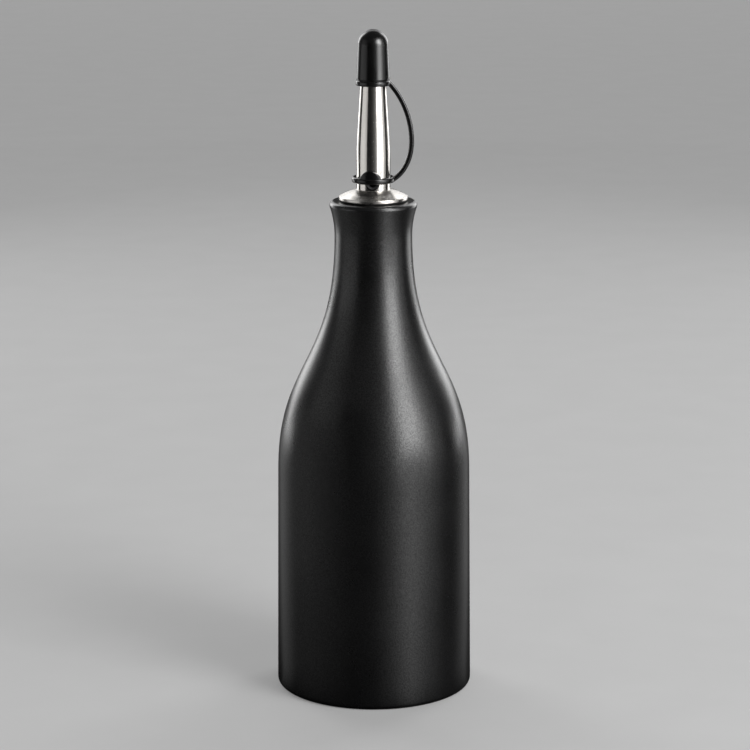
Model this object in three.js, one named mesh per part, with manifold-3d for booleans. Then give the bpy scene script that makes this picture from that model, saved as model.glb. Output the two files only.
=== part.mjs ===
// An oil bottle: a stoneware vessel, closed by a lift-out steel pourer with a tethered rubber cap.
// Millimetres, +Z up, origin at the centre of the foot. The front, with the air hole, faces -Y.

import * as THREE from 'three';
import { mergeVertices } from 'three/addons/utils/BufferGeometryUtils.js';
import Module from 'manifold-3d';

// Stoneware bottle
const bodyRadius = 38;
const bodyDraw = 0.8; // how much narrower the body is at the shoulder than at the foot
const footCorner = 2;
const footRingWidth = 5.5;
const footRecess = 1.2;
const floorThickness = 6.5;
const insideCorner = 8;
const bodyWall = 4;
const shoulderStart = 85.9;
const shoulderHeight = 92.4;
const shoulderBelly = 0.468; // share of the shoulder's height that holds on to the body's line
const shoulderWaist = 0.546; // share that holds on to the neck's line
const neckWall = 4.85;
const flareRadius = 35.7;
const flareHeight = 11.3;
const lipRound = 1.6;
const mouthRound = 0.8;

// Steel pourer
const gasketThickness = 1.3;
const gasketOverlap = 1.4; // how far the gasket reaches out over the flat of the lip
const flangeLift = 0.5; // height of the flange's rim above the lip
const skirtRoom = 0.45; // between the gasket's edge and the flange's skirt
const skirtMetal = 0.5;
const flangeRim = 1.4;
const flangeEdgeRound = 0.35;
const flangeRise = 2.7;
const tubeRadius = 6.48;
const tubeWall = 0.8;
const tubeBelowLip = 20;
const taperStart = 19.4; // above the flange
const taperHeight = 23.5;
const taperBelly = 0.45; // share of the taper's height that holds on to the lower line
const taperWaist = 0.55; // share that holds on to the tip's line
const tipRadius = 4.95;
const tipHeight = 7.5; // parallel stretch above the taper
const tipSlant = 16; // degrees
const ventRadius = 2.65;
const ventClear = 0.1; // steel left between the air hole and the flange
const ventTurn = 3; // degrees towards -X from the front

// Stopper and breather
const coreWall = 1;
const coreLedge = 1.1;
const coreLedgeHeight = 2.5;
const coreRimHeight = 1.8;
const sleeveWall = 0.8;
const finCount = 4;
const finDepth = 0.82;
const finTip = 0.5;
const finRoot = 1.9;
const breatherRadius = 1.95;
const breatherWall = 0.5;
const breatherMouth = 0.5; // straight length at the air hole
const breatherOff = 1.2; // between the breather and the inside of the tube
const breatherBelow = 11; // below the stopper

// Rubber cap, strap and ring
const capSkirt = 11; // how far the cap reaches down over the spout's tip
const capWall = 1.1;
const capCrownWall = 0.58; // wall beside the spout's tip, where the cap is narrower
const capHeadroom = 2.9; // from the spout's tip up to the hollow's dome
const capBead = 2;
const capBeadStep = 0.22;
const capBeadRound = 0.44;
const capGroove = 0.35;
const capGrooveDepth = 0.18;
const capSeat = 0.9; // width of the ledge that meets the spout's tip
const ringWall = 1.45;
const ringHeight = 2.2;
const ringEdgeRound = 0.5;
const ringRise = 2.5; // ring's lower edge above the flange
const tabRadius = 4.1;
const tabInset = 0.3; // tab's face behind the ring's face
const tabTurn = 10; // degrees towards -X from the front
const strapThickness = 2;
const strapWidth = 2.6;
const strapCorner = 0.7;
const strapBow = 6.35; // how far the strap bows out past the ring
const strapBowHeight = 14.9; // bow's widest point above the ring's middle
const strapRoot = 1.2; // depth of the strap's ends inside the ring and the bead, before they are trimmed
const strapCapPull = 8.4;
const strapCapSlope = 45; // degrees below level where the strap leaves the cap
const strapUpperPull = 8;
const strapLowerPull = 6.2;
const strapRingPull = 5.6;
const strapRingSlope = 33; // degrees above level where the strap leaves the ring

// Clearances and facets
const fitGap = 0.3;
const bottleSides = 48;
const pourerSides = 32;
const holeSides = 20;
const shoulderSteps = 11;
const taperSteps = 8;
const domeSteps = 7;
const cornerSteps = 4;
const edgeSteps = 2;
const breatherSteps = 36;
const breatherSegments = 5;
const strapSteps = 30;

const degree = Math.PI / 180;
const wasm = await Module();
wasm.setup();

// A closed body from a geometry, with its shared corners merged and its empty triangles left out.
const solidOf = (geometry) => {
  const bare = geometry.clone();
  bare.deleteAttribute('normal');
  bare.deleteAttribute('uv');
  const merged = mergeVertices(bare, 1e-4);
  const corners = merged.index.array;
  const triangles = [];
  for (let i = 0; i < corners.length; i += 3) {
    const [a, b, c] = corners.slice(i, i + 3);
    if (a !== b && b !== c && c !== a) {
      triangles.push(a, b, c);
    }
  }
  const vertProperties = merged.attributes.position.array;
  const triVerts = new Uint32Array(triangles);
  return new wasm.Manifold(new wasm.Mesh({ numProp: 3, vertProperties, triVerts }));
};

const geometryOf = (solid) => {
  const { vertProperties, triVerts } = solid.getMesh();
  const geometry = new THREE.BufferGeometry();
  geometry.setAttribute('position', new THREE.BufferAttribute(vertProperties, 3));
  geometry.setIndex(new THREE.BufferAttribute(triVerts, 1));
  return geometry;
};

const point = (r, z) => new THREE.Vector2(r, z);

// Points on a quarter or part circle about (r, z), from one angle to another, in degrees from level.
const arc = (r, z, radius, from, to, steps = cornerSteps) => {
  const points = [];
  for (let i = 0; i <= steps; i += 1) {
    const angle = (from + ((to - from) * i) / steps) * degree;
    points.push(point(r + radius * Math.cos(angle), z + radius * Math.sin(angle)));
  }
  return points;
};

// The two rounded outer corners of a turned band between two heights.
const bandCorners = (radius, low, high, round) => [
  ...arc(radius - round, low + round, round, -90, 0, edgeSteps),
  ...arc(radius - round, high - round, round, 0, 90, edgeSteps),
];

const curvePoints = (a, b, c, d, steps) => new THREE.CubicBezierCurve(a, b, c, d).getPoints(steps);

// A turned body: the profile runs out and up on the outside, then in and down on the inside.
const turned = (profile, sides) => {
  const spaced = profile.filter((p, i) => i === 0 || p.distanceTo(profile[i - 1]) > 1e-3);
  return new THREE.LatheGeometry(spaced, sides).rotateX(Math.PI / 2);
};

const turnedRing = (profile, sides) => turned([...profile, profile[0].clone()], sides);

// A bar along Z between two heights.
const uprightBar = (radius, low, high, sides) => {
  const bar = new THREE.CylinderGeometry(radius, radius, high - low, sides);
  return bar.rotateX(Math.PI / 2).translate(0, 0, (low + high) / 2);
};

const finish = (color, roughness, metalness) => {
  return new THREE.MeshStandardMaterial({ color, roughness, metalness });
};

const part = new THREE.Group();

const add = (name, geometry, material) => {
  const mesh = new THREE.Mesh(geometry, material);
  mesh.name = name;
  part.add(mesh);
  return mesh;
};

// Bottle: stoneware in two castings, a straight body and a shoulder with the neck and lip. They are luted
// with slip where they meet, then glazed in satin black as one.
const hubRadius = tubeRadius + fitGap; // bore of every piece that sits on the tube
const coreRadius = hubRadius + coreWall;
const sleeveInside = coreRadius + fitGap;
const sleeveRadius = sleeveInside + sleeveWall;
const finRadius = sleeveRadius + finDepth;
const neckBore = finRadius + fitGap;
const neckRadius = neckBore + neckWall;
const shoulderRadius = bodyRadius - bodyDraw;
const neckStart = shoulderStart + shoulderHeight;
const flareAngle = Math.asin(flareHeight / flareRadius) / degree;
const lipCentreRadius = neckRadius + flareRadius - (flareRadius + lipRound) * Math.cos(flareAngle * degree);
const lipCentreHeight = neckStart + (flareRadius + lipRound) * Math.sin(flareAngle * degree);
const lipTop = lipCentreHeight + lipRound;
const footRadius = bodyRadius - footCorner;
const recessRadius = footRadius - footRingWidth;
const insideRadius = bodyRadius - bodyWall;
const shoulderInside = shoulderRadius - bodyWall;

const shoulderCurve = (low, high) => curvePoints(
  point(low, shoulderStart),
  point(low, shoulderStart + shoulderHeight * shoulderBelly),
  point(high, neckStart - shoulderHeight * shoulderWaist),
  point(high, neckStart),
  shoulderSteps,
);

const stoneware = finish('#1b1b1c', 0.55, 0);
add('bottle_body', turned([
  point(0, footRecess),
  point(recessRadius - footRecess, footRecess),
  point(recessRadius, 0),
  ...arc(footRadius, footCorner, footCorner, -90, 0),
  point(shoulderRadius, shoulderStart),
  point(shoulderInside, shoulderStart),
  ...arc(insideRadius - insideCorner, floorThickness + insideCorner, insideCorner, 0, -90),
  point(0, floorThickness),
], bottleSides), stoneware);
add('bottle_shoulder', turnedRing([
  ...shoulderCurve(shoulderRadius, neckRadius),
  ...arc(neckRadius + flareRadius, neckStart, flareRadius, 180, 180 - flareAngle),
  ...arc(lipCentreRadius, lipCentreHeight, lipRound, -flareAngle, 90),
  ...arc(neckBore + mouthRound, lipTop - mouthRound, mouthRound, 90, 180),
  ...shoulderCurve(shoulderInside, neckBore).reverse(),
], bottleSides), stoneware);

// Gasket: flat silicone washer that lies on the lip, round the tube.
const gasketRadius = neckBore + mouthRound + gasketOverlap;
const gasketTop = lipTop + gasketThickness;
add('flange_gasket', turnedRing([
  point(hubRadius, lipTop),
  point(gasketRadius, lipTop),
  point(gasketRadius, gasketTop),
  point(hubRadius, gasketTop),
], pourerSides), finish('#1a1a1a', 0.7, 0));

// Flange: pressed stainless disc whose skirt hides the gasket and whose cone sheds drips from the tube.
const skirtInside = gasketRadius + skirtRoom;
const flangeRadius = skirtInside + skirtMetal;
const flangeBottom = lipTop + flangeLift;
const flangeShoulder = flangeBottom + flangeRim;
const flangeTop = flangeShoulder + flangeRise;
add('pour_flange', turnedRing([
  point(skirtInside, flangeBottom),
  ...bandCorners(flangeRadius, flangeBottom, flangeShoulder, flangeEdgeRound),
  point(hubRadius, flangeTop),
  point(hubRadius, gasketTop),
  point(skirtInside, gasketTop),
], pourerSides), finish('#c9c5be', 0.28, 1));

// Spout tube: drawn stainless, narrowed towards its tip and cut off at a slant, with an air hole at its foot.
const tubeBottom = lipTop - tubeBelowLip;
const taperLow = flangeTop + taperStart;
const taperHigh = taperLow + taperHeight;
const tipTop = taperHigh + tipHeight;
const ventHeight = flangeTop + ventClear + ventRadius;
const spoutSide = (inset) => [
  point(tubeRadius - inset, tubeBottom),
  ...curvePoints(
    point(tubeRadius - inset, taperLow),
    point(tubeRadius - inset, taperLow + taperHeight * taperBelly),
    point(tipRadius - inset, taperHigh - taperHeight * taperWaist),
    point(tipRadius - inset, taperHigh),
    taperSteps,
  ),
  point(tipRadius - inset, tipTop),
];
const plainTube = solidOf(turnedRing([...spoutSide(0), ...spoutSide(tubeWall).reverse()], pourerSides));
const ventDrill = solidOf(
  new THREE.CylinderGeometry(ventRadius, ventRadius, tubeRadius, holeSides)
    .translate(0, -tubeRadius, ventHeight)
    .rotateZ(-ventTurn * degree),
);
const tipCut = solidOf(
  new THREE.BoxGeometry(tubeRadius * 4, tubeRadius * 4, tubeRadius * 2)
    .translate(0, 0, tubeRadius)
    .rotateX(tipSlant * degree)
    .translate(0, 0, tipTop - tipRadius * Math.tan(tipSlant * degree)),
);
add('spout_tube', geometryOf(plainTube.subtract(ventDrill).subtract(tipCut)), finish('#cdc9c2', 0.24, 1));

// Stopper core: moulded barrel that the tube is pressed into, down to a ledge. Its rim keeps the sleeve on.
const ledgeTop = tubeBottom;
const ledgeRadius = hubRadius - coreLedge;
const coreBottom = ledgeTop - coreLedgeHeight;
const sleeveBottom = coreBottom + coreRimHeight;
const plastic = finish('#202020', 0.5, 0);
add('stopper_core', turnedRing([
  point(ledgeRadius, coreBottom),
  point(sleeveRadius, coreBottom),
  point(sleeveRadius, sleeveBottom),
  point(coreRadius, sleeveBottom),
  point(coreRadius, lipTop),
  point(hubRadius, lipTop),
  point(hubRadius, ledgeTop),
  point(ledgeRadius, ledgeTop),
], pourerSides), plastic);

// Stopper sleeve: moulded silicone with soft fins that grip the bore of the neck.
const sleeveTop = lipTop - mouthRound - fitGap;
const finPitch = (sleeveTop - sleeveBottom) / finCount;
const finPoints = [];
for (let i = 0; i < finCount; i += 1) {
  const finBase = sleeveBottom + finPitch * (i + 0.5) - finRoot / 2;
  finPoints.push(point(sleeveRadius, finBase));
  finPoints.push(point(finRadius, finBase + finRoot - finTip));
  finPoints.push(point(finRadius, finBase + finRoot));
  finPoints.push(point(sleeveRadius, finBase + finRoot));
}
add('stopper_sleeve', turnedRing([
  point(sleeveInside, sleeveBottom),
  point(sleeveRadius, sleeveBottom),
  ...finPoints,
  point(sleeveRadius, sleeveTop),
  point(sleeveInside, sleeveTop),
], pourerSides), finish('#232323', 0.65, 0));

// Breather: thin moulded tube whose mouth stands in the air hole and whose lower end hangs below the stopper.
const breatherStand = tubeRadius - tubeWall - breatherOff - breatherRadius;
const breatherReach = tubeRadius - fitGap;
const breatherBend = breatherReach - breatherMouth - breatherStand;
const breatherPath = new THREE.CurvePath();
const mouthPoint = new THREE.Vector3(0, -breatherReach, ventHeight);
const bendStart = new THREE.Vector3(0, -breatherStand - breatherBend, ventHeight);
const bendCorner = new THREE.Vector3(0, -breatherStand, ventHeight);
const bendEnd = new THREE.Vector3(0, -breatherStand, ventHeight - breatherBend);
const breatherFoot = new THREE.Vector3(0, -breatherStand, coreBottom - breatherBelow);
breatherPath.add(new THREE.LineCurve3(mouthPoint, bendStart));
breatherPath.add(new THREE.QuadraticBezierCurve3(bendStart, bendCorner, bendEnd));
breatherPath.add(new THREE.LineCurve3(bendEnd, breatherFoot));
const breatherBore = breatherRadius - breatherWall;
const breatherSection = new THREE.Shape().absarc(0, 0, breatherRadius, 0, Math.PI * 2);
breatherSection.holes.push(new THREE.Path().absarc(0, 0, breatherBore, 0, Math.PI * 2, true));
const breather = add('breather_tube', new THREE.ExtrudeGeometry(breatherSection, {
  steps: breatherSteps,
  curveSegments: breatherSegments,
  bevelEnabled: false,
  extrudePath: breatherPath,
}), plastic);
breather.rotation.z = -ventTurn * degree;

// Tether ring: rubber ring, loose on the tube, with a half-round tab that shades the air hole.
const ringRadius = hubRadius + ringWall;
const ringBottom = flangeTop + ringRise;
const ringTop = ringBottom + ringHeight;
const ringMiddle = (ringBottom + ringTop) / 2;
const ringBand = solidOf(turnedRing([
  point(hubRadius, ringBottom),
  ...bandCorners(ringRadius, ringBottom, ringTop, ringEdgeRound),
  point(hubRadius, ringTop),
], pourerSides));
const tabBand = solidOf(turnedRing([
  point(hubRadius, ringMiddle),
  point(ringRadius - tabInset, ringMiddle),
  point(ringRadius - tabInset, ringMiddle + tabRadius * 2),
  point(hubRadius, ringMiddle + tabRadius * 2),
], pourerSides));
const tabDisc = solidOf(
  new THREE.CylinderGeometry(tabRadius, tabRadius, ringRadius * 2, pourerSides)
    .translate(0, -ringRadius, ringMiddle),
);
const tab = tabBand.intersect(tabDisc);
const ring = add('tether_ring', geometryOf(ringBand.add(tab)), finish('#171717', 0.6, 0));
ring.rotation.z = -tabTurn * degree;

// Cap: moulded rubber thimble with a domed end and a bead round its mouth, pushed over the spout's tip.
const capBottom = tipTop - capSkirt;
const spoutRadiusAt = (height) => {
  const side = spoutSide(0);
  const next = side.findIndex((p) => p.y > height);
  const [a, b] = [side[next - 1], side[next]];
  return a.x + ((b.x - a.x) * (height - a.y)) / (b.y - a.y);
};
const capMouth = spoutRadiusAt(capBottom) + fitGap;
const capRadius = capMouth + capWall;
const beadRadius = capRadius + capBeadStep;
const capRoom = tipRadius + fitGap;
const capSeatHeight = tipTop + fitGap;
const hollowRadius = capRoom - capSeat;
const hollowStart = capSeatHeight + capHeadroom;
const domeRadius = capRoom + capCrownWall;
const domeStart = hollowStart + capWall;
const capTop = domeStart + domeRadius;
const beadTop = capBottom + capBead;
add('cap', turned([
  ...arc(0, hollowStart, hollowRadius, 90, 0, domeSteps),
  point(hollowRadius, capSeatHeight),
  point(capRoom, capSeatHeight),
  point(capMouth, capBottom),
  ...bandCorners(beadRadius, capBottom, beadTop, capBeadRound),
  point(capRadius - capGrooveDepth, beadTop),
  point(capRadius - capGrooveDepth, beadTop + capGroove),
  point(capRadius, beadTop + capGroove),
  ...arc(0, domeStart, domeRadius, 0, 90, domeSteps),
], pourerSides), finish('#171717', 0.55, 0));

// Strap: moulded with the cap and the ring, bowed out to the right, trimmed to stand just clear of both.
const beadMiddle = capBottom + capBead / 2;
const across = (x, z) => new THREE.Vector3(x, 0, z);
const strapTop = across(beadRadius - strapRoot, beadMiddle + strapRoot / 2);
const strapEnd = across(ringRadius - strapRoot / 2, ringMiddle);
const bowPoint = across(ringRadius + strapBow, ringMiddle + strapBowHeight);
const capLeave = across(Math.cos(strapCapSlope * degree), -Math.sin(strapCapSlope * degree));
const ringLeave = across(Math.cos(strapRingSlope * degree), Math.sin(strapRingSlope * degree));
const strapPath = new THREE.CurvePath();
strapPath.add(new THREE.CubicBezierCurve3(
  strapTop,
  strapTop.clone().addScaledVector(capLeave, strapCapPull),
  bowPoint.clone().add(across(0, strapUpperPull)),
  bowPoint,
));
strapPath.add(new THREE.CubicBezierCurve3(
  bowPoint,
  bowPoint.clone().add(across(0, -strapLowerPull)),
  strapEnd.clone().addScaledVector(ringLeave, strapRingPull),
  strapEnd,
));
const halfWidth = strapWidth / 2;
const halfThickness = strapThickness / 2;
const strapSection = new THREE.Shape([
  point(-halfWidth + strapCorner, -halfThickness),
  point(halfWidth - strapCorner, -halfThickness),
  point(halfWidth, -halfThickness + strapCorner),
  point(halfWidth, halfThickness - strapCorner),
  point(halfWidth - strapCorner, halfThickness),
  point(-halfWidth + strapCorner, halfThickness),
  point(-halfWidth, halfThickness - strapCorner),
  point(-halfWidth, -halfThickness + strapCorner),
]);
const wholeStrap = solidOf(new THREE.ExtrudeGeometry(strapSection, {
  steps: strapSteps,
  bevelEnabled: false,
  extrudePath: strapPath,
}));
const capTrim = solidOf(uprightBar(beadRadius + fitGap, ringTop + strapBowHeight, capTop, pourerSides));
const ringTrim = solidOf(uprightBar(ringRadius + fitGap, flangeTop, ringTop + strapBowHeight, pourerSides));
add('cap_strap', geometryOf(wholeStrap.subtract(capTrim).subtract(ringTrim)), finish('#171717', 0.6, 0));

export default part;
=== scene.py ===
"""A black stoneware oil bottle, closed by a lift-out steel pourer with a tethered rubber cap.

Metres, +Z up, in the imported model's own frame: the origin is at the centre of the foot, and the
air hole faces -Y.
"""

from math import asin, cos, degrees, pi, radians, sin, tan

import bpy
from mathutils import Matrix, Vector


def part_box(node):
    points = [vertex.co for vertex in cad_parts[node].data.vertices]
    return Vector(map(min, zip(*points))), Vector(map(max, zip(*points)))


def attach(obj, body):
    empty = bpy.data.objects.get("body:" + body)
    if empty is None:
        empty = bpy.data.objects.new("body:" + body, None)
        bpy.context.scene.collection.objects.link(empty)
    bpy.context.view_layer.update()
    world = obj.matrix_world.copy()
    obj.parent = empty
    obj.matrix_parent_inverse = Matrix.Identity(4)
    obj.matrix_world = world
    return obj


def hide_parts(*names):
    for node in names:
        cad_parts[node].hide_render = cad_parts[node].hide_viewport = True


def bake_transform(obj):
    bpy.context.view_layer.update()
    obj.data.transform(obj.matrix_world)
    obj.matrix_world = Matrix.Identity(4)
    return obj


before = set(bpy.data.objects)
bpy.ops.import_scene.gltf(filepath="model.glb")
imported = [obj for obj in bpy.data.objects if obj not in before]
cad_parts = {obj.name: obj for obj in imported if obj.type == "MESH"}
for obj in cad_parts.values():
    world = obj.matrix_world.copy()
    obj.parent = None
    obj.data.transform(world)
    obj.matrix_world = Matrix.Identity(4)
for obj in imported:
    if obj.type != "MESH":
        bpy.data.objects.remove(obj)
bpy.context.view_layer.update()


# Bottle: stoneware, a straight body and a shoulder with the neck and lip, cast apart and luted with
# slip where they meet. A satin black glaze that fires to a fine grain covers the joint, and the foot
# ring is wiped bare.
MM = 0.001
WELD = 0.001 * MM
FIT_GAP = 0.3 * MM
SMOOTH_ANGLE = radians(35)
NOISE_SPAN = (0.3, 0.7)
body_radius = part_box("bottle_body")[1].x
lip_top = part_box("bottle_shoulder")[1].z
body_draw = 0.8 * MM
body_wall = 4 * MM
foot_corner = 2 * MM
foot_ring = 5.5 * MM
foot_recess = 1.2 * MM
recess_round = 0.5 * MM
floor_thickness = 6.5 * MM
inside_corner = 8 * MM
shoulder_start = 85.9 * MM
shoulder_height = 92.4 * MM
shoulder_belly = 0.468
shoulder_waist = 0.546
shoulder_steps = 40
neck_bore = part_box("stopper_sleeve")[1].x + FIT_GAP
neck_wall = 4.85 * MM
flare_radius = 35.7 * MM
flare_height = 11.3 * MM
lip_round = 1.6 * MM
mouth_round = 0.8 * MM
bottle_sides = 144
bare_heights = (0.1 * MM, 0.5 * MM)
clay_roughness = 0.85
glaze_roughness = (0.26, 0.31)
glaze_gloss = (0.36, 0.64)

shoulder_radius = body_radius - body_draw
neck_radius = neck_bore + neck_wall
neck_start = shoulder_start + shoulder_height
flare_angle = degrees(asin(flare_height / flare_radius))
lip_centre = lip_top - lip_round
lip_reach = neck_radius + flare_radius - (flare_radius + lip_round) * cos(radians(flare_angle))
foot_radius = body_radius - foot_corner
recess_radius = foot_radius - foot_ring
inside_radius = body_radius - body_wall - inside_corner


def arc(r, z, radius, start, end, steps):
    """Points of a part circle about (r, z), from one angle to another, in degrees from level."""
    angles = [radians(start + (end - start) * i / steps) for i in range(steps + 1)]
    return [(r + radius * cos(a), z + radius * sin(a)) for a in angles]


def sweep(a, b, c, d, steps):
    """Points of a curve from a to d that leaves towards b and arrives from c."""
    points = []
    for i in range(steps + 1):
        t = i / steps
        shares = ((1 - t) ** 3, 3 * t * (1 - t) ** 2, 3 * t * t * (1 - t), t ** 3)
        points.append(tuple(sum(s * p[k] for s, p in zip(shares, (a, b, c, d))) for k in (0, 1)))
    return points


def shoulder(low, high):
    """The shoulder's line between the body's radius and the neck's."""
    belly = shoulder_start + shoulder_height * shoulder_belly
    waist = neck_start - shoulder_height * shoulder_waist
    return sweep(
        (low, shoulder_start), (low, belly), (high, waist), (high, neck_start), shoulder_steps)


def close_mesh():
    """Welds the mesh in edit mode where it meets, points its faces outwards and leaves edit mode."""
    bpy.ops.mesh.select_all(action="SELECT")
    bpy.ops.mesh.remove_doubles(threshold=WELD)
    bpy.ops.mesh.normals_make_consistent(inside=False)
    bpy.ops.object.mode_set(mode="OBJECT")


def turn(name, profile, sides):
    """Extrudes a vertex along half an outline of (radius, height) points and spins it to a piece."""
    bpy.ops.object.select_all(action="DESELECT")
    bpy.ops.mesh.primitive_plane_add(size=MM)
    piece = bpy.context.object
    piece.name = piece.data.name = name
    bpy.ops.object.mode_set(mode="EDIT")
    bpy.ops.mesh.merge(type="CENTER")
    here = Vector((profile[0][0], 0, profile[0][1]))
    bpy.ops.transform.translate(value=here)
    for r, z in profile[1:]:
        there = Vector((r, 0, z))
        bpy.ops.mesh.extrude_region_move(TRANSFORM_OT_translate={"value": there - here})
        here = there
    bpy.ops.mesh.select_all(action="SELECT")
    bpy.ops.mesh.spin(steps=sides, angle=2 * pi, center=(0, 0, 0), axis=(0, 0, 1))
    close_mesh()
    bpy.ops.object.shade_smooth_by_angle(angle=SMOOTH_ANGLE)
    return piece


def add_node(finish, kind, inputs=None, **settings):
    """Adds a node to a finish. An input is a plain value, or another node's output to join it to."""
    node = finish.node_tree.nodes.new(kind)
    for name, value in settings.items():
        setattr(node, name, value)
    for name, value in (inputs or {}).items():
        if isinstance(value, bpy.types.NodeSocket):
            finish.node_tree.links.new(value, node.inputs[name])
        else:
            node.inputs[name].default_value = value
    return node


def new_finish(name):
    """A finish with its shader and the place on the piece that its patterns read."""
    finish = bpy.data.materials.new(name)
    finish.use_nodes = True
    place = add_node(finish, "ShaderNodeTexCoord").outputs["Object"]
    return finish, finish.node_tree.nodes["Principled BSDF"], place


def noise(finish, place, scale, detail, roughness=0.5):
    """A random pattern in layers that get finer."""
    return add_node(finish, "ShaderNodeTexNoise", {
        "Vector": place, "Scale": scale, "Detail": detail, "Roughness": roughness}).outputs["Fac"]


def ramp(finish, factor, *stops):
    """A colour that follows a factor through stops, each a position and a colour or a grey."""
    node = add_node(finish, "ShaderNodeValToRGB", {"Fac": factor})
    while len(node.color_ramp.elements) < len(stops):
        node.color_ramp.elements.new(0.5)
    for element, (position, colour) in zip(node.color_ramp.elements, stops):
        element.position = position
        element.color = (*colour, 1) if isinstance(colour, tuple) else (colour, colour, colour, 1)
    return node.outputs["Color"]


def remap(finish, value, start, end):
    """A value taken from one (low, high) range to another, and held at its ends."""
    return add_node(finish, "ShaderNodeMapRange", {
        "Value": value, "From Min": start[0], "From Max": start[1],
        "To Min": end[0], "To Max": end[1]}).outputs["Result"]


def bump(finish, height, distance, strength):
    """A fine relief that follows a pattern."""
    return add_node(finish, "ShaderNodeBump", {
        "Height": height, "Distance": distance, "Strength": strength}).outputs["Normal"]


def join(finish, shader, patterns):
    """Joins patterns to the sockets of a finish's shader."""
    for socket, pattern in patterns.items():
        finish.node_tree.links.new(pattern, shader.inputs[socket])


bottle = turn("stoneware_bottle", [
    (0, foot_recess),
    (recess_radius - foot_recess, foot_recess),
    *arc(recess_radius + recess_round, recess_round, recess_round, 180, 270, 5),
    *arc(foot_radius, foot_corner, foot_corner, -90, 0, 10),
    *shoulder(shoulder_radius, neck_radius),
    *arc(neck_radius + flare_radius, neck_start, flare_radius, 180, 180 - flare_angle, 10),
    *arc(lip_reach, lip_centre, lip_round, -flare_angle, 90, 14),
    *arc(neck_bore + mouth_round, lip_top - mouth_round, mouth_round, 90, 180, 8),
    *reversed(shoulder(shoulder_radius - body_wall, neck_bore)),
    *arc(inside_radius, floor_thickness + inside_corner, inside_corner, 0, -90, 10),
    (0, floor_thickness),
], bottle_sides)

glaze, shader, place = new_finish("satin_black_glaze")
mottle = noise(glaze, place, scale=45.0, detail=5.0)
grain = noise(glaze, place, scale=1900.0, detail=1.0)
height = add_node(glaze, "ShaderNodeSeparateXYZ", {"Vector": place}).outputs["Z"]
wiped = remap(glaze, height, bare_heights, (1.0, 0.0))
glaze_tone = ramp(
    glaze, mottle, (0.3, (0.0036, 0.0036, 0.0037)), (0.7, (0.0056, 0.0056, 0.0058)))
clay_tone = ramp(glaze, grain, (0.35, (0.075, 0.066, 0.058)), (0.65, (0.12, 0.106, 0.092)))
satin = remap(glaze, mottle, NOISE_SPAN, glaze_roughness)
# A Mix node takes its two colours at sockets 6 and 7 and gives the mixed one at 2.
tone = add_node(
    glaze, "ShaderNodeMix", {0: wiped, 6: glaze_tone, 7: clay_tone}, data_type="RGBA").outputs[2]
matte = add_node(
    glaze, "ShaderNodeMix", {"Factor": wiped, "A": satin, "B": clay_roughness}).outputs[0]
join(glaze, shader, {
    "Base Color": tone,
    "Roughness": matte,
    "Specular IOR Level": remap(glaze, grain, NOISE_SPAN, glaze_gloss),
    "Normal": bump(glaze, grain, distance=0.028 * MM, strength=1.0),
})
bottle.data.materials.append(glaze)
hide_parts("bottle_body", "bottle_shoulder")
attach(bottle, "bottle")


# Gasket: a flat washer stamped from black silicone sheet. It lies on the lip round the spout's tube,
# hidden by the flange's skirt, and seals the bottle when the pourer is pushed home.
gasket_low, gasket_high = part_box("flange_gasket")
gasket_edge = 0.25 * MM
gasket_clear = 0.1 * MM
tube_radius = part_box("spout_tube")[1].x
pourer_sides = 128
silicone_roughness = (0.52, 0.66)


def washer(inside, outside, low, high, edge):
    """The outline of a flat ring whose two outer corners are rounded."""
    return [
        (inside, low),
        *arc(outside - edge, low + edge, edge, -90, 0, 5),
        *arc(outside - edge, high - edge, edge, 0, 90, 5),
        (inside, high),
        (inside, low),
    ]


gasket_inside = tube_radius + gasket_clear
gasket_line = washer(gasket_inside, gasket_high.x, gasket_low.z, gasket_high.z, gasket_edge)
gasket = turn("silicone_gasket", gasket_line, pourer_sides)

silicone, shader, place = new_finish("matte_black_silicone")
dust = noise(silicone, place, scale=350.0, detail=6.0, roughness=0.65)
skin = noise(silicone, place, scale=2600.0, detail=1.0)
silicone_tone = ramp(
    silicone, dust, (0.35, (0.012, 0.012, 0.012)), (0.75, (0.022, 0.022, 0.021)))
join(silicone, shader, {
    "Base Color": silicone_tone,
    "Roughness": remap(silicone, dust, NOISE_SPAN, silicone_roughness),
    "Normal": bump(silicone, skin, distance=0.015 * MM, strength=0.5),
})
gasket.data.materials.append(silicone)
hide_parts("flange_gasket")
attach(gasket, "pourer")


# Flange: a stainless disc pressed to a low cone, with a turned-down skirt that hides the gasket and a
# short collar that the tube is brazed into. Its top is brushed on a lathe, so the lines run round it.
flange_low, flange_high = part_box("pour_flange")
flange_radius = flange_high.x
skirt_metal = 0.5 * MM
flange_rim = 1.4 * MM
flange_edge = 0.35 * MM
flange_crown = 0.32 * MM
rim_angle = 68
braze_gap = 0.03 * MM
steel_anisotropy = 0.55
quarter_turn = 0.25
skirt_inside = flange_radius - skirt_metal
flange_shoulder = flange_low.z + flange_rim
collar_radius = tube_radius + braze_gap
cone_out = flange_radius - flange_edge
cone_run = cone_out - collar_radius
cone_rise = flange_high.z - flange_shoulder
flange = turn("steel_flange", [
    (skirt_inside, flange_low.z),
    *arc(cone_out, flange_low.z + flange_edge, flange_edge, -90, 0, 6),
    *arc(cone_out, flange_shoulder - flange_edge, flange_edge, 0, rim_angle, 6),
    *sweep(
        (cone_out, flange_shoulder),
        (cone_out - cone_run / 3, flange_shoulder + cone_rise / 3 + flange_crown),
        (cone_out - cone_run * 2 / 3, flange_shoulder + cone_rise * 2 / 3 + flange_crown),
        (collar_radius, flange_high.z),
        14,
    ),
    (collar_radius, gasket_high.z),
    (skirt_inside, gasket_high.z),
    (skirt_inside, flange_low.z),
], pourer_sides)


def reckon(finish, operation, a, b):
    """The outcome of a sum on two values."""
    return add_node(finish, "ShaderNodeMath", {0: a, 1: b}, operation=operation).outputs["Value"]


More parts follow.
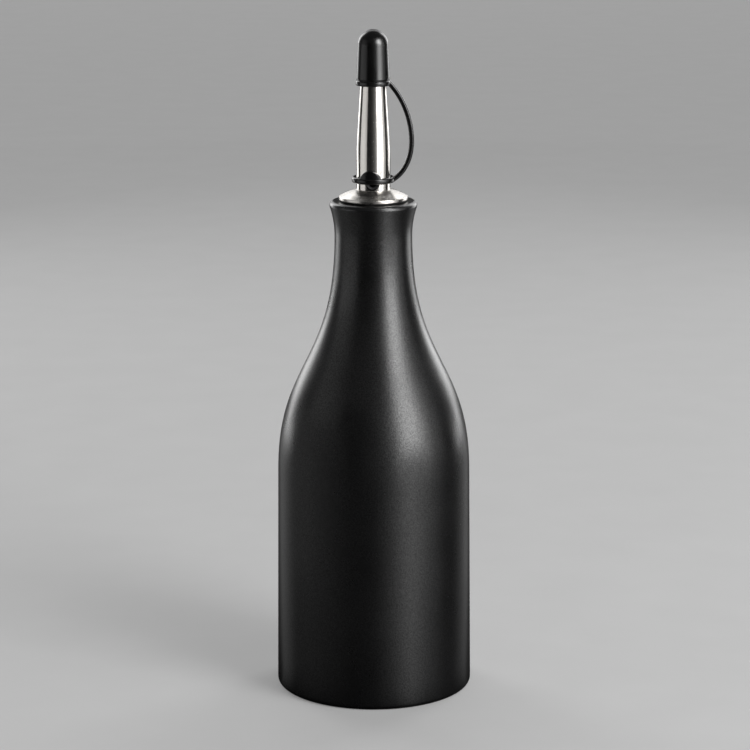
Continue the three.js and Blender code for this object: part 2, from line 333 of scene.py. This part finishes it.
def from_axis(finish, place):
    """A place's X, Y and Z, and how far it is from the bottle's axis."""
    x, y, z = add_node(finish, "ShaderNodeSeparateXYZ", {"Vector": place}).outputs
    level = add_node(finish, "ShaderNodeCombineXYZ", {"X": x, "Y": y}).outputs["Vector"]
    reach = add_node(finish, "ShaderNodeVectorMath", {0: level}, operation="LENGTH")
    return x, y, z, reach.outputs["Value"]


def brushed_steel(name, across, along, roughness):
    """Stainless steel with fine lines round the axis, by their density across and along them."""
    finish, shader, place = new_finish(name)
    x, y, z, reach = from_axis(finish, place)
    stretched = add_node(finish, "ShaderNodeCombineXYZ", {
        "X": reckon(finish, "MULTIPLY", x, along),
        "Y": reckon(finish, "MULTIPLY", y, along),
        "Z": reckon(finish, "MULTIPLY", reckon(finish, "ADD", reach, z), across),
    }).outputs["Vector"]
    brush = noise(finish, stretched, scale=1.0, detail=3.0, roughness=0.6)
    smear = noise(finish, place, scale=130.0, detail=4.0)
    worn = reckon(finish, "ADD", brush, smear)
    around = add_node(finish, "ShaderNodeTangent", direction_type="RADIAL", axis="Z")
    join(finish, shader, {
        "Base Color": ramp(
            finish, brush, (0.3, (0.565, 0.545, 0.515)), (0.7, (0.665, 0.642, 0.61))),
        "Roughness": remap(finish, worn, (0.7, 1.3), (roughness * 0.8, roughness * 1.25)),
        "Normal": bump(finish, brush, distance=0.004 * MM, strength=0.5),
        "Tangent": around.outputs["Tangent"],
    })
    shader.inputs["Metallic"].default_value = 1
    shader.inputs["Anisotropic"].default_value = steel_anisotropy
    shader.inputs["Anisotropic Rotation"].default_value = quarter_turn
    return finish


flange.data.materials.append(
    brushed_steel("lathe_brushed_steel", across=7000.0, along=60.0, roughness=0.27))
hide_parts("pour_flange")
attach(flange, "pourer")


# Spout: drawn stainless tube, swaged narrower towards its tip, cut off at a slant so that it doesn't
# drip, with an air hole drilled at its foot. It is deburred at every edge and brushed on a lathe.
tube_low, tube_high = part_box("spout_tube")
tube_wall = 0.8 * MM
taper_clear = 10.5 * MM
taper_height = 32.3 * MM
taper_belly = 0.28
taper_waist = 0.15
taper_steps = 24
tip_radius = 4.8 * MM
tip_slant = radians(16)
vent_radius = 2.65 * MM
vent_clear = 0.1 * MM
vent_turn = radians(-3)
vent_sides = 64
burr = 0.09 * MM
edge_segments = 3
edge_smooth = radians(30)
tip_top = tube_high.z
taper_low = flange_high.z + taper_clear
taper_high = taper_low + taper_height
vent_height = flange_high.z + vent_clear + vent_radius


def tube_side(inset):
    """The tube's line from its foot to its tip, inset by the wall for the bore."""
    wide, slim = tube_radius - inset, tip_radius - inset
    belly = taper_low + taper_height * taper_belly
    waist = taper_high - taper_height * taper_waist
    return [
        (wide, tube_low.z),
        (wide, (vent_height + vent_radius + taper_low) / 2),
        *sweep((wide, taper_low), (wide, belly), (slim, waist), (slim, taper_high), taper_steps),
        (slim, tip_top + tip_radius),
    ]


def cut(piece, tool, operation):
    """Cuts a piece by a tool or joins the two, and throws the tool away."""
    bpy.ops.object.select_all(action="DESELECT")
    piece.select_set(True)
    bpy.context.view_layer.objects.active = piece
    bpy.ops.object.modifier_add(type="BOOLEAN")
    modifier = piece.modifiers[-1]
    modifier.operation = operation
    modifier.object = tool
    modifier.solver = "EXACT"
    bpy.ops.object.modifier_apply(modifier=modifier.name)
    bpy.data.objects.remove(tool)


def soften(piece, width, angle):
    """Rounds every edge of a piece that is sharper than an angle, and smooths the rest."""
    bpy.context.view_layer.objects.active = piece
    bpy.ops.object.modifier_add(type="BEVEL")
    modifier = piece.modifiers[-1]
    modifier.width = width
    modifier.segments = edge_segments
    modifier.limit_method = "ANGLE"
    modifier.angle_limit = radians(angle)
    modifier.use_clamp_overlap = False
    bpy.ops.object.modifier_apply(modifier=modifier.name)
    bpy.ops.object.shade_smooth_by_angle(angle=edge_smooth)


outer_side = tube_side(0)
spout_line = [*outer_side, *reversed(tube_side(tube_wall)), outer_side[0]]
spout = turn("steel_spout", spout_line, pourer_sides)
bpy.ops.object.mode_set(mode="EDIT")
bpy.ops.mesh.select_all(action="SELECT")
bpy.ops.mesh.bisect(
    plane_co=(0, 0, tip_top - tip_radius * tan(tip_slant)),
    plane_no=(0, -sin(tip_slant), cos(tip_slant)),
    clear_outer=True,
)
bpy.ops.mesh.bridge_edge_loops()
bpy.ops.mesh.select_all(action="SELECT")
bpy.ops.mesh.normals_make_consistent(inside=False)
bpy.ops.object.mode_set(mode="OBJECT")
bpy.ops.mesh.primitive_cylinder_add(
    vertices=vent_sides,
    radius=vent_radius,
    depth=tube_radius,
    location=(tube_radius * sin(vent_turn), -tube_radius * cos(vent_turn), vent_height),
    rotation=(pi / 2, 0, vent_turn),
)
cut(spout, bpy.context.object, "DIFFERENCE")
soften(spout, burr, 40)
spout.data.materials.append(
    brushed_steel("tube_brushed_steel", across=5200.0, along=45.0, roughness=0.17))
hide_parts("spout_tube")
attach(spout, "pourer")


# Stopper core: an injection-moulded barrel of black polypropylene that the tube is pressed into, down
# to a ledge. Its lower rim holds the sleeve on, and its lead-in is chamfered to find the mouth.
core_low, core_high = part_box("stopper_core")
core_wall = 1 * MM
ledge_height = 2.5 * MM
ledge_width = 1.1 * MM
core_rim_height = 1.8 * MM
core_chamfer = 0.5 * MM
core_edge = 0.12 * MM
plastic_roughness = (0.55, 0.68)
core_bore = tube_radius + FIT_GAP
core_rim = core_high.x
core_radius = core_bore + core_wall
core = turn("stopper_barrel", [
    (core_bore - ledge_width, core_low.z),
    (core_rim - core_chamfer, core_low.z),
    (core_rim, core_low.z + core_chamfer),
    (core_rim, core_low.z + core_rim_height),
    (core_radius, core_low.z + core_rim_height),
    (core_radius, core_high.z),
    (core_bore, core_high.z),
    (core_bore, core_low.z + ledge_height),
    (core_bore - ledge_width, core_low.z + ledge_height),
    (core_bore - ledge_width, core_low.z),
], pourer_sides)
soften(core, core_edge, 30)

plastic, shader, place = new_finish("moulded_black_plastic")
flow = noise(plastic, place, scale=120.0, detail=4.0)
spark = add_node(plastic, "ShaderNodeTexVoronoi", {"Vector": place, "Scale": 1800.0})
plastic_tone = ramp(plastic, flow, (0.3, (0.013, 0.013, 0.0135)), (0.7, (0.02, 0.02, 0.021)))
join(plastic, shader, {
    "Base Color": plastic_tone,
    "Roughness": remap(plastic, flow, NOISE_SPAN, plastic_roughness),
    "Normal": bump(plastic, spark.outputs["Distance"], distance=0.02 * MM, strength=0.4),
})
core.data.materials.append(plastic)
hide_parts("stopper_core")
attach(core, "pourer")


# Stopper sleeve: black silicone moulded with four soft fins, slanted below and flat above, stretched
# over the core. The fins fold against the bore of the neck and hold the pourer by friction.
sleeve_low, sleeve_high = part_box("stopper_sleeve")
sleeve_clear = 0.05 * MM
fin_count = 4
fin_tip = 0.5 * MM
fin_root = 1.9 * MM
fin_edge = 0.14 * MM
sleeve_radius = core_rim
sleeve_inside = core_radius + sleeve_clear
fin_radius = sleeve_high.x
fin_pitch = (sleeve_high.z - sleeve_low.z) / fin_count
fins = []
for i in range(fin_count):
    fin_base = sleeve_low.z + fin_pitch * (i + 0.5) - fin_root / 2
    fin_top = fin_base + fin_root
    fins += [
        (sleeve_radius, fin_base),
        (fin_radius, fin_top - fin_tip),
        (fin_radius, fin_top),
        (sleeve_radius, fin_top),
    ]
sleeve = turn("finned_sleeve", [
    (sleeve_inside, sleeve_low.z),
    (sleeve_radius, sleeve_low.z),
    *fins,
    (sleeve_radius, sleeve_high.z),
    (sleeve_inside, sleeve_high.z),
    (sleeve_inside, sleeve_low.z),
], pourer_sides)
soften(sleeve, fin_edge, 20)
sleeve.data.materials.append(silicone)
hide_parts("stopper_sleeve")
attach(sleeve, "pourer")


# Breather: a thin tube of black polypropylene, moulded with a bend. Its flared mouth stands in the air
# hole and its foot hangs below the stopper, so that air comes in while the oil runs out beside it.
breather_radius = 1.95 * MM
breather_wall = 0.5 * MM
breather_mouth = 0.5 * MM
breather_edge = 0.08 * MM
mouth_bore = 2.2 * MM
mouth_sunk = 0.5 * MM
breather_off = 1.2 * MM
breather_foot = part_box("breather_tube")[0].z
breather_sides = 40
bend_steps = 14
breather_bore = breather_radius - breather_wall
breather_stand = tube_radius - tube_wall - breather_off - breather_radius
mouth_front = tube_radius - mouth_sunk
mouth_back = tube_radius - FIT_GAP - breather_mouth
bend_radius = mouth_back - breather_stand
bend_foot = vent_height - bend_radius
bpy.ops.object.select_all(action="DESELECT")
bpy.ops.mesh.primitive_circle_add(
    vertices=breather_sides,
    radius=mouth_bore,
    location=(0, -mouth_front, vent_height),
    rotation=(pi / 2, 0, 0),
)
breather = bpy.context.object
breather.name = breather.data.name = "air_tube"
bpy.ops.object.transform_apply()
bpy.ops.object.mode_set(mode="EDIT")
bpy.ops.mesh.extrude_region_move(
    TRANSFORM_OT_translate={"value": (0, mouth_front - mouth_back, 0)})
bpy.ops.transform.resize(
    value=[breather_bore / mouth_bore] * 3, center_override=(0, -mouth_back, vent_height))
bpy.ops.mesh.spin(
    steps=bend_steps,
    angle=pi / 2,
    center=(0, -breather_stand - bend_radius, bend_foot),
    axis=(1, 0, 0),
)
bpy.ops.mesh.extrude_region_move(
    TRANSFORM_OT_translate={"value": (0, 0, breather_foot - bend_foot)})
close_mesh()
bpy.ops.object.modifier_add(type="SOLIDIFY")
wall = breather.modifiers[-1]
wall.thickness = breather_wall
wall.offset = 1
bpy.ops.object.modifier_apply(modifier=wall.name)
soften(breather, breather_edge, 60)
breather.rotation_euler.z = vent_turn
bpy.ops.object.transform_apply()
breather.data.materials.append(plastic)
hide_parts("breather_tube")
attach(breather, "pourer")


# Ring: the lower end of the one rubber moulding, a round-edged band that turns on the tube, with a
# half-round tab on its upper edge that shades the air hole and gives a fingernail something to push.
ring_low, ring_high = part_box("tether_ring")
ring_bottom = ring_low.z
ring_height = 2.2 * MM
ring_edge = 0.75 * MM
ring_clear = 0.12 * MM
ring_wall = 1.45 * MM
tab_radius = 4.1 * MM
tab_inset = 0.3 * MM
tab_edge = 0.3 * MM
tab_lift = 0.13 * MM
tab_clear = 0.06 * MM
tab_turn = radians(-10)
tab_rings = 24
tab_sides = 96
rubber_roughness = (0.2, 0.27)
rubber_gloss = 0.42
ring_inside = tube_radius + ring_clear
ring_radius = tube_radius + FIT_GAP + ring_wall
ring_middle = ring_bottom + ring_height / 2
ring_line = washer(ring_inside, ring_radius, ring_bottom, ring_bottom + ring_height, ring_edge)
ring = turn("ring_with_tab", ring_line, pourer_sides)
tab_foot = ring_middle + tab_lift
tab_front = ring_radius - tab_inset
tab_back = ring_inside + tab_clear
tab_flat = tab_radius - tab_edge
tab_reaches = [tab_radius * (i / tab_rings) for i in range(tab_rings + 1)]
tab = turn("tab", [
    *((reach, tab_back) for reach in tab_reaches),
    *arc(tab_flat, tab_front - tab_edge, tab_edge, 0, 90, 6),
    *((reach, tab_front) for reach in reversed(tab_reaches) if reach < tab_flat),
], tab_sides)
tab.rotation_euler.x = pi / 2
bpy.ops.object.transform_apply()
tab.location.z = ring_middle
bpy.ops.object.transform_apply()
bpy.ops.object.mode_set(mode="EDIT")
bpy.ops.mesh.select_all(action="SELECT")
bpy.ops.mesh.bisect(
    plane_co=(0, 0, tab_foot), plane_no=(0, 0, 1), use_fill=True, clear_inner=True)
bpy.ops.object.mode_set(mode="OBJECT")
# The flat tab is bent round the tube: each point's depth becomes its distance from the axis.
for corner in tab.data.vertices:
    corner.co.y = -(corner.co.y ** 2 - corner.co.x ** 2) ** 0.5
tab.rotation_euler.z = tab_turn
bpy.ops.object.transform_apply()
cut(ring, tab, "UNION")
bpy.ops.object.shade_smooth_by_angle(angle=SMOOTH_ANGLE)

rubber, shader, place = new_finish("semi_matte_black_rubber")
bloom = noise(rubber, place, scale=160.0, detail=5.0)
pores = noise(rubber, place, scale=3000.0, detail=2.0)
rubber_tone = ramp(
    rubber, bloom, (0.3, (0.002, 0.002, 0.002)), (0.75, (0.0036, 0.0036, 0.0035)))
join(rubber, shader, {
    "Base Color": rubber_tone,
    "Roughness": remap(rubber, bloom, NOISE_SPAN, rubber_roughness),
    "Normal": bump(rubber, pores, distance=0.012 * MM, strength=0.5),
})
shader.inputs["Specular IOR Level"].default_value = rubber_gloss
ring.data.materials.append(rubber)
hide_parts("tether_ring")
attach(ring, "tether")


# Cap: the upper end of the moulding, a thimble of black rubber with a domed end, a bead round its mouth
# and a hollow that grips the spout's tip, so that the tip's slant closes against a ledge inside.
cap_low, cap_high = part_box("cap")
cap_bottom = cap_low.z
bead_radius = cap_high.x
bead_height = 2 * MM
bead_step = 0.22 * MM
bead_round = 0.6 * MM
groove_height = 0.35 * MM
groove_depth = 0.18 * MM
cap_wall = 1.1 * MM
cap_clear = 0.45 * MM
crown_wall = 0.58 * MM
headroom = 2.9 * MM
seat_width = 0.9 * MM
cap_radius = bead_radius - bead_step
cap_room = tip_radius + cap_clear
cap_mouth = cap_radius - cap_wall
seat_height = tip_top + FIT_GAP
hollow_radius = cap_room - seat_width
hollow_start = seat_height + headroom
dome_radius = cap_room + crown_wall
dome_start = hollow_start + cap_wall
bead_top = cap_bottom + bead_height
groove_top = bead_top + groove_height * 1.5
cap_lean = (cap_radius - dome_radius) * groove_height / 2 / (dome_start - groove_top)
cap = turn("rubber_cap", [
    *arc(0, hollow_start, hollow_radius, 90, 0, 16),
    (hollow_radius, seat_height),
    (cap_room, seat_height),
    (cap_mouth, cap_bottom + bead_round),
    *arc(cap_mouth + bead_round, cap_bottom + bead_round, bead_round, 180, 270, 5)[1:],
    *arc(bead_radius - bead_round, cap_bottom + bead_round, bead_round, -90, 0, 8),
    *arc(bead_radius - bead_round, bead_top - bead_round, bead_round, 0, 80, 8),
    (cap_radius - groove_depth, bead_top),
    (cap_radius - groove_depth, bead_top + groove_height / 2),
    (cap_radius, groove_top),
    (cap_radius - cap_lean, groove_top + groove_height / 2),
    *arc(0, dome_start, dome_radius, 0, 90, 24),
], pourer_sides)
cap.data.materials.append(rubber)
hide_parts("cap")
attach(cap, "cap")


# Strap: the thin middle of the moulding, a round-edged ribbon of rubber that bows out from the cap's
# bead to the ring. It bends and stretches when the cap is pulled off, and its ends are one with bead
# and ring.
strap_thickness = 2 * MM
strap_width = 2.6 * MM
strap_square = 0.78
strap_root = 1.2 * MM
strap_bow = 6.35 * MM
strap_bow_height = 14.9 * MM
cap_pull = 8.4 * MM
cap_slope = radians(-45)
upper_pull = 8 * MM
lower_pull = 6.2 * MM
ring_pull = 5.6 * MM
ring_slope = radians(33)
section_steps = 6
strap_steps = 32
strap_smooth = radians(40)
strap_top = Vector((bead_radius - strap_root, 0, cap_bottom + bead_height / 2 + strap_root / 2))
strap_end = Vector((ring_radius - strap_root / 2, 0, ring_middle))
bow = Vector((ring_radius + strap_bow, 0, ring_middle + strap_bow_height))
cap_leave = Vector((cos(cap_slope), 0, sin(cap_slope)))
ring_leave = Vector((cos(ring_slope), 0, sin(ring_slope)))
up = Vector((0, 0, 1))
half_sizes = Vector((strap_width / 2, strap_thickness / 2, 0))
bpy.ops.object.select_all(action="DESELECT")
bpy.ops.curve.primitive_bezier_circle_add()
section = bpy.context.object
section_knots = section.data.splines[0].bezier_points
for knot in section_knots:
    knot.handle_left_type = knot.handle_right_type = "FREE"
for knot in section_knots:
    middle = knot.co * half_sizes
    left = (knot.handle_left - knot.co).normalized() * half_sizes * strap_square
    right = (knot.handle_right - knot.co).normalized() * half_sizes * strap_square
    knot.co, knot.handle_left, knot.handle_right = middle, middle + left, middle + right
section.data.resolution_u = section_steps
bpy.ops.curve.primitive_bezier_curve_add()
strap = bpy.context.object
strap.name = "strap"
line = strap.data.splines[0].bezier_points
line.add(1)
route = (
    (strap_top, strap_top - cap_leave * cap_pull, strap_top + cap_leave * cap_pull),
    (bow, bow + up * upper_pull, bow - up * lower_pull),
    (strap_end, strap_end + ring_leave * ring_pull, strap_end - ring_leave * ring_pull),
)
for knot, (middle, before, after) in zip(line, route):
    knot.handle_left_type = knot.handle_right_type = "FREE"
    knot.co, knot.handle_left, knot.handle_right = middle, before, after
strap.data.resolution_u = strap_steps
strap.data.bevel_mode = "OBJECT"
strap.data.bevel_object = section
strap.data.use_fill_caps = True
bpy.ops.object.convert(target="MESH")
bpy.data.objects.remove(section)
bpy.ops.object.mode_set(mode="EDIT")
close_mesh()
bpy.ops.object.shade_smooth_by_angle(angle=strap_smooth)
strap.data.materials.append(rubber)
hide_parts("cap_strap")
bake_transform(strap)


# Floor: a plain pale sheet of paper that fills the picture. What is seen of it, straight or in the
# steel, is partly its own flat tone, so that it stays pale far from the lamps. The rest takes light
# and shadow.
floor_size = 100
floor_tone = 0.66
flat_share = 0.28
paper_roughness = 0.9
paper_gloss = 0.2
bpy.ops.object.select_all(action="DESELECT")
bpy.ops.mesh.primitive_plane_add(size=floor_size)
floor = bpy.context.object
floor.name = "floor"
paper, shader, place = new_finish("pale_paper")
fibre = noise(paper, place, scale=30.0, detail=6.0)
join(paper, shader, {"Base Color": ramp(paper, fibre, (0.3, 0.48), (0.7, 0.5))})
shader.inputs["Roughness"].default_value = paper_roughness
shader.inputs["Specular IOR Level"].default_value = paper_gloss
rays = add_node(paper, "ShaderNodeLightPath").outputs
seen = reckon(paper, "MAXIMUM", rays["Is Camera Ray"], rays["Is Glossy Ray"])
seen_through = reckon(paper, "MAXIMUM", seen, rays["Is Transmission Ray"])
flat = add_node(paper, "ShaderNodeEmission", {
    "Color": (floor_tone, floor_tone, floor_tone, 1), "Strength": 1.0})
sheet = add_node(paper, "ShaderNodeMixShader", {
    0: reckon(paper, "MULTIPLY", seen_through, flat_share),
    1: shader.outputs["BSDF"],
    2: flat.outputs["Emission"],
})
join(paper, paper.node_tree.nodes["Material Output"], {"Surface": sheet.outputs["Shader"]})
floor.data.materials.append(paper)


# Studio light: soft panels stand round the bottle, bright on the right, dim on the left and narrow
# behind, where they draw its edges, with a wide backdrop far off. Only mirrors show the panels' feet,
# so that no hot spot lies on the floor. The sky gives a low even fill.
light_distance = 1.1
light_top = 1.2
floor_clear = 0.3
panel_low = 0.14
skirt_low = 0.06
strip_top = 0.1
strip_distance = 0.77
fill_low = 0.17
fill_top = 0.9
backdrop_top = 9.0
backdrop_distance = 7.0
sky_tone = 0.12


def panel(name, start, end, radiance, low=0.0, high=light_top, distance=light_distance):
    """A soft panel that fills the bearings from start to end, in degrees right of the camera."""
    bearing = radians((start + end) / 2)
    width = 2 * distance * tan(radians((end - start) / 2))
    foot = (name + "_foot", low, min(high, floor_clear), False)
    rest = (name, max(low, floor_clear), high, True)
    for part, bottom, top, floor_lit in (foot, rest):
        if top <= bottom:
            continue
        lamp = bpy.data.lights.new(part, "AREA")
        lamp.shape = "RECTANGLE"
        lamp.size = width
        lamp.size_y = top - bottom
        lamp.energy = radiance * pi * width * (top - bottom)
        light = bpy.data.objects.new(part, lamp)
        light.location = (distance * sin(bearing), -distance * cos(bearing), (bottom + top) / 2)
        light.rotation_euler = (pi / 2, 0, bearing)
        light.visible_camera = False
        light.visible_diffuse = floor_lit
        bpy.context.scene.collection.objects.link(light)


panel("key_inner_wing", 27, 35, 3.0)
panel("key_panel", 35, 60, 9.6, panel_low)
panel("key_outer_wing", 60, 72, 3.0)
panel("key_side_panel", 72, 91, 0.6)
panel("right_edge_panel", 132, 154, 3.2, panel_low)
panel("right_edge_skirt", 131, 155, 2.4, skirt_low, panel_low)
panel("right_low_panel", 117, 141, 2.4, high=strip_top, distance=strip_distance)
panel("left_panel", -96, -62, 0.36, fill_low, fill_top)
panel("left_inner_panel", -62, -48, 0.2, fill_low, fill_top)
panel("left_edge_panel", -155, -133, 3.2, panel_low)
panel("left_edge_skirt", -155, -132, 2.4, skirt_low, panel_low)
panel("left_low_panel", -142, -119, 2.4, high=strip_top, distance=strip_distance)
panel("backdrop_panel", 130, 230, 1.1, high=backdrop_top, distance=backdrop_distance)
sky = bpy.data.worlds.new("sky")
sky.use_nodes = True
sky_colour = sky.node_tree.nodes["Background"].inputs["Color"]
sky_colour.default_value = (sky_tone, sky_tone, sky_tone, 1)
bpy.context.scene.world = sky


# Cards: dull boards that only mirrors show, toned by bearing to paint reflections in the glaze and
# steel. A round one lies about the foot, and black ones stand between the lamps and draw the dark
# bands of the steel. Glowing ones, though no lamps, give painted light: they keep the glaze's left
# side even and put a painted highlight on the cap's dome. Near the body each card is painted darker.
card_lift = 0.2 * MM
card_gap = 0.5 * MM
card_far = 1.5
card_shade = 150 * MM
# Painted shade: the cards are painted darker near the body's foot, fading out over card_shade.
card_foot_shade = ((0.0, 0.03), (0.05, 0.4), (0.14, 0.66), (1.0, 1.0))
# Painted light: the glow of the lit cards, which are no lamps.
card_painted_glow = 1.0
card_sides = 120
# Painted reflections: tones by bearing of the round card, which the glaze mirrors; the bright one at 45
# paints the lower body's highlight.
card_reflection_tones = (
    (-180, 0.01),
    (-158, 0.01),
    (-152, 0.23),
    (-130, 0.2),
    (-114, 0.075),
    (-80, 0.125),
    (-50, 0.08),
    (-25, 0.026),
    (2, 0.014),
    (22, 0.2),
    (45, 0.85),
    (68, 0.28),
    (92, 0.03),
    (114, 0.015),
    (130, 0.12),
    (152, 0.25),
    (162, 0.01),
    (180, 0.01),
)
# Painted reflections: tones by bearing of the boards in front and to the left, which the glaze and
# steel mirror.
front_reflection_tones = ((-40, 0.014), (-16, 0.026), (-2, 0.058), (5, 0.11), (12, 0.15), (21, 0.38))
black_tones = ((-180, 0.015), (180, 0.015))
fill_reflection_tones = ((-98, 0.5), (-66, 0.52), (-60, 0.44), (-46, 0.34))
fence_reflection_tones = ((-115, 0.1), (-90, 0.17), (-60, 0.125), (-30, 0.04))
# Painted highlight: the crown card's tones and glow make a light spot on the cap's dome, though the
# card is no lamp.
crown_highlight_tones = ((20, 0.0), (40, 0.3), (57, 1.0), (66, 1.0), (84, 0.3), (104, 0.0))
crown_glow = 31.0
board_distance = 0.75
fence_distance = 0.2
fill_distance = 0.85
crown_distance = 0.08
crown_low = 0.264
crown_top = 0.304
# Each board: its name, the bearings that it fills, its distance, foot and top, its tones and glow.
boards = (
    ("front_board", -44, 23, board_distance, card_lift, 0.45, front_reflection_tones, 0.0),
    ("left_board", -118, -98, board_distance, card_lift, 0.3, black_tones, 0.0),
    ("right_board", 93, 117, board_distance, card_lift, 0.3, black_tones, 0.0),
    ("left_low_board", -155, -143, board_distance, card_lift, 0.1, black_tones, 0.0),
    ("right_low_board", 142, 154, board_distance, card_lift, 0.1, black_tones, 0.0),
    ("left_back_board", -173, -155, board_distance, card_lift, 0.19, black_tones, 0.0),
    ("right_back_board", 154, 173, board_distance, card_lift, 0.19, black_tones, 0.0),
    ("back_board", 173, 187, board_distance, card_lift, 0.6, black_tones, 0.0),
    ("left_fence", -110, -70, fence_distance, card_lift, 0.15, fence_reflection_tones, card_painted_glow),
    ("left_inner_fence", -70, -30, fence_distance, card_lift, 0.15, fence_reflection_tones, card_painted_glow),
    ("left_fill_board", -98, -46, fill_distance, card_lift, 0.26, fill_reflection_tones, card_painted_glow),
    ("crown_highlight_card", 20, 68, crown_distance, crown_low, crown_top, crown_highlight_tones, crown_glow),
)


def cover(piece, tones, glow):
    """Paints a board dull by bearing, a painted reflection, and hides it from all but mirrors.

    The bearing is the one at which the body's wall mirrors a place, which is wider near the body.
    """
    mirror_paint, shader, place = new_finish(piece.name + "_cloth")
    x, y, _, reach = from_axis(mirror_paint, place)
    bearing = reckon(mirror_paint, "ARCTAN2", x, reckon(mirror_paint, "MULTIPLY", y, -1.0))
    twice = reckon(mirror_paint, "MULTIPLY", reach, 2.0)
    spread = reckon(mirror_paint, "DIVIDE", twice, reckon(mirror_paint, "SUBTRACT", twice, body_radius))
    mirrored = reckon(mirror_paint, "MULTIPLY", bearing, spread)
    stops = [((angle + 180) / 360, grey) for angle, grey in tones]
    tone = ramp(mirror_paint, remap(mirror_paint, mirrored, (-pi, pi), (0.0, 1.0)), *stops)
    # Painted shade: the tone is darkened towards the body's wall.
    beyond = remap(mirror_paint, reach, (body_radius, body_radius + card_shade), (0.0, 1.0))
    foot_shade = ramp(mirror_paint, beyond, *card_foot_shade)
    shaded = add_node(mirror_paint, "ShaderNodeVectorMath", {0: tone, 1: foot_shade}, operation="MULTIPLY")
    join(mirror_paint, shader, {
        "Base Color": shaded.outputs["Vector"],
        "Emission Color": shaded.outputs["Vector"],
    })
    # A glow makes the board give painted light in mirrors, though it is no lamp.
    shader.inputs["Emission Strength"].default_value = glow
    shader.inputs["Roughness"].default_value = 1
    shader.inputs["Specular IOR Level"].default_value = 0
    mirror_paint.cycles.emission_sampling = "NONE"
    piece.data.materials.append(mirror_paint)
    piece.visible_camera = piece.visible_diffuse = piece.visible_shadow = False


card_line = [(foot_radius + card_gap, card_lift), (card_far, card_lift)]
cover(turn("floor_card", card_line, card_sides), card_reflection_tones, card_painted_glow)
for name, left, right, distance, low, high, tones, glow in boards:
    bpy.ops.object.select_all(action="DESELECT")
    bpy.ops.mesh.primitive_plane_add()
    board = bpy.context.object
    board.name = name
    corners = ((left, low), (right, low), (left, high), (right, high))
    for vertex, (angle, level) in zip(board.data.vertices, corners):
        vertex.co = (distance * sin(radians(angle)), -distance * cos(radians(angle)), level)
    cover(board, tones, glow)


# Camera: a long lens, a metre away, a little above the bottle and looking down at it, as the
# photograph does.
camera_lens = 134.4
camera_sensor = 36
camera_place = (0.0009, -1.055, 0.366)
camera_tilt = 0.226
camera_roll = 0.0015
eye = bpy.data.cameras.new("camera")
eye.lens = camera_lens
eye.sensor_width = camera_sensor
camera = bpy.data.objects.new("camera", eye)
camera.location = camera_place
camera.rotation_euler = (pi / 2 - camera_tilt, camera_roll, 0)
bpy.context.scene.collection.objects.link(camera)
bpy.context.scene.camera = camera
bpy.context.scene.view_settings.view_transform = "Standard"
